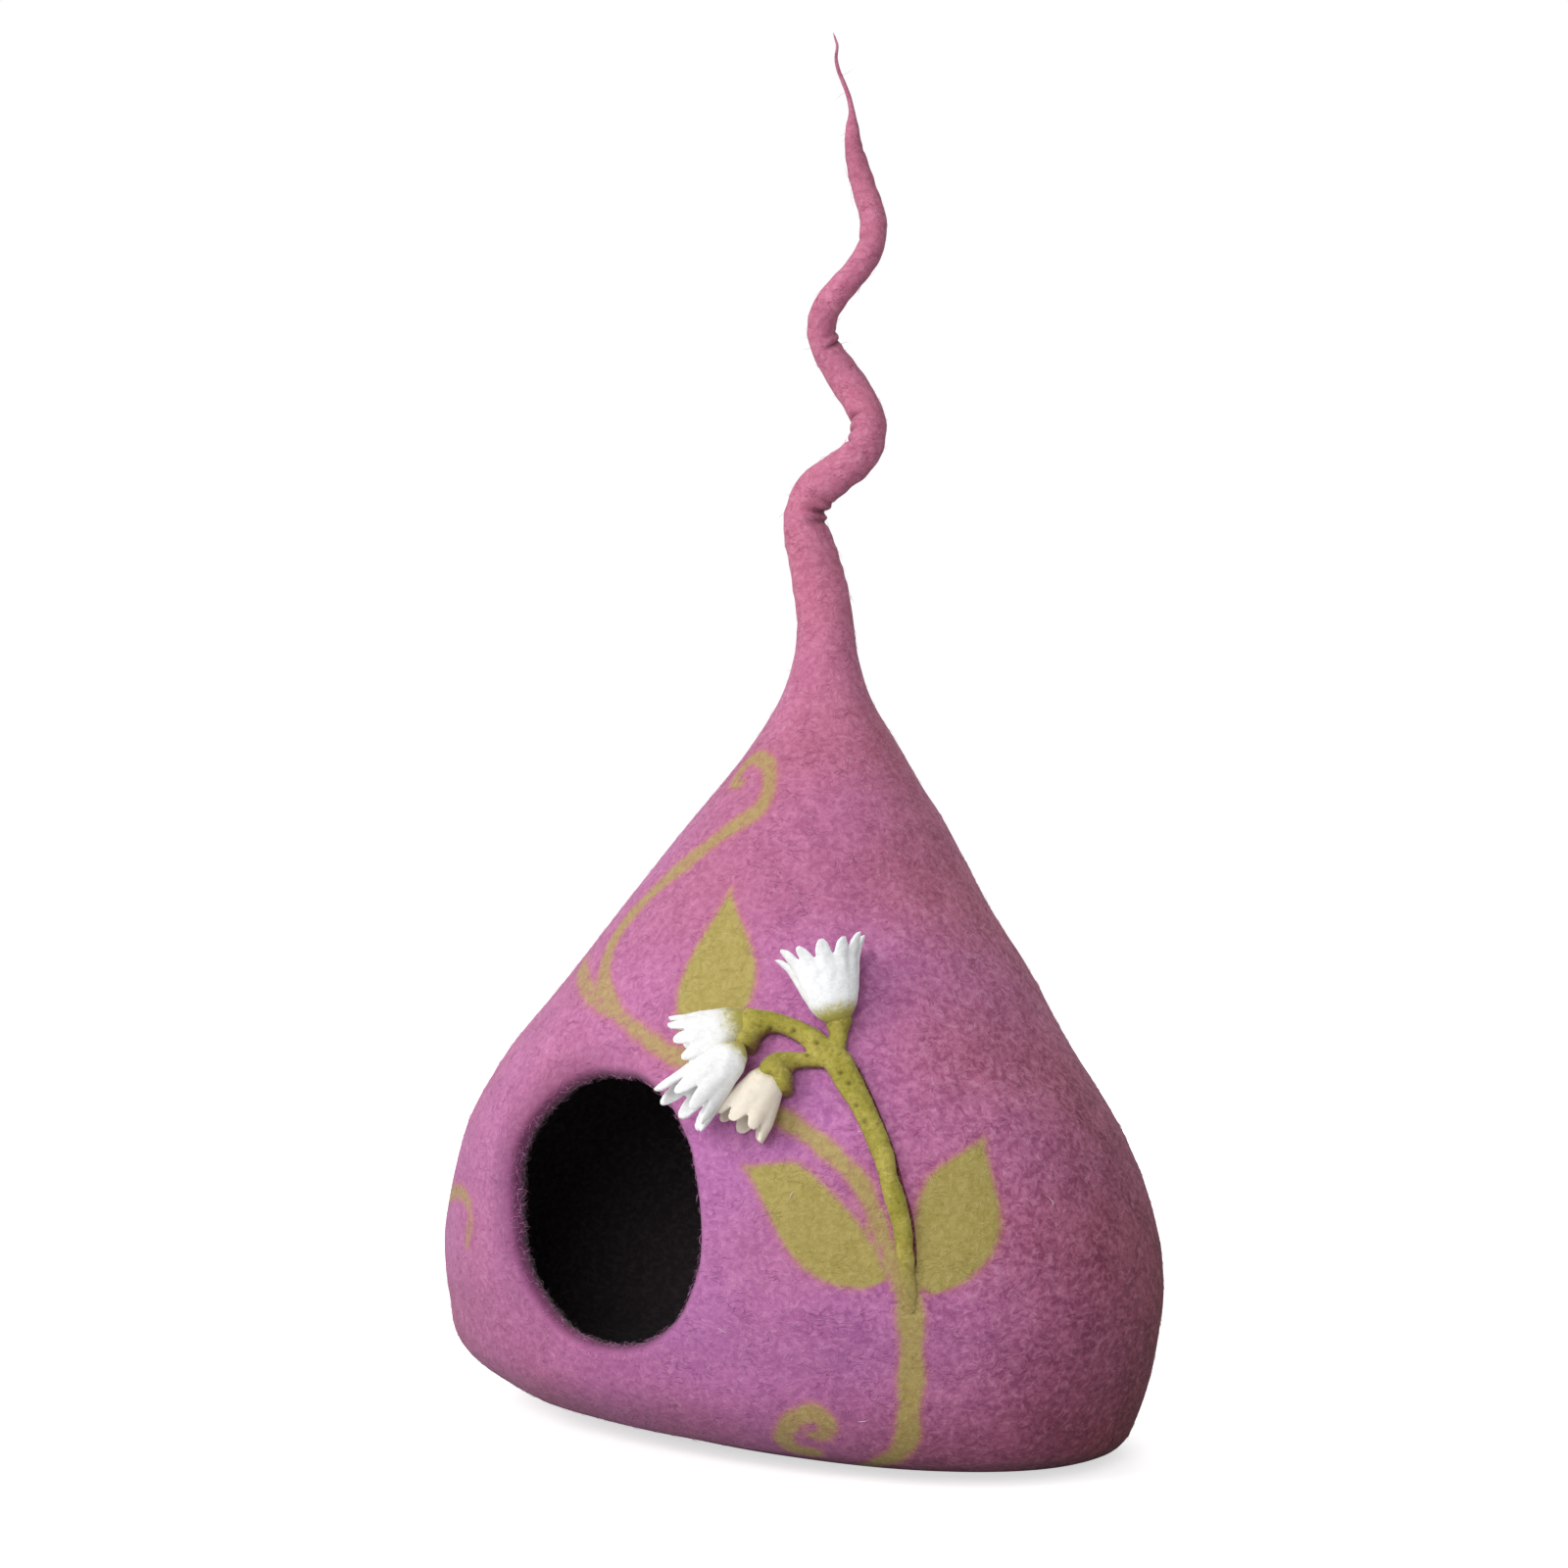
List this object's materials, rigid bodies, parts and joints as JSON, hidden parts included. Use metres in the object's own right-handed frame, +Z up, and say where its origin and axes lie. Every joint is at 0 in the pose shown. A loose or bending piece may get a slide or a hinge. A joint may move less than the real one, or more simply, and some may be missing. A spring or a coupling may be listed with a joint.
{
  "type": "felt cat cave",
  "caption": "Hollow pear-shaped felt pet cave with a round doorway, drawn up into a thin curling tail, with raised felt flowers on a stem beside the doorway.",
  "frame": {"origin": "on the flat underside, under the middle of the body", "axes": "+Z up along the tail, -Y out of the doorway's side, +X to the right seen from the doorway's side"},
  "size_m": [0.5398, 0.3888, 0.937],
  "materials": {
    "shell_felt": "matt wool felt, orchid pink with purple",
    "stem_felt": "matt wool felt, olive green",
    "bell_felt": "matt wool felt, white"
  },
  "bodies": {
    "root": {"shell": "shell_felt", "stem": "stem_felt", "bell_top": "bell_felt", "bell_left": "bell_felt", "bell_middle": "bell_felt", "bell_lower": "bell_felt"}
  },
  "joints": []
}
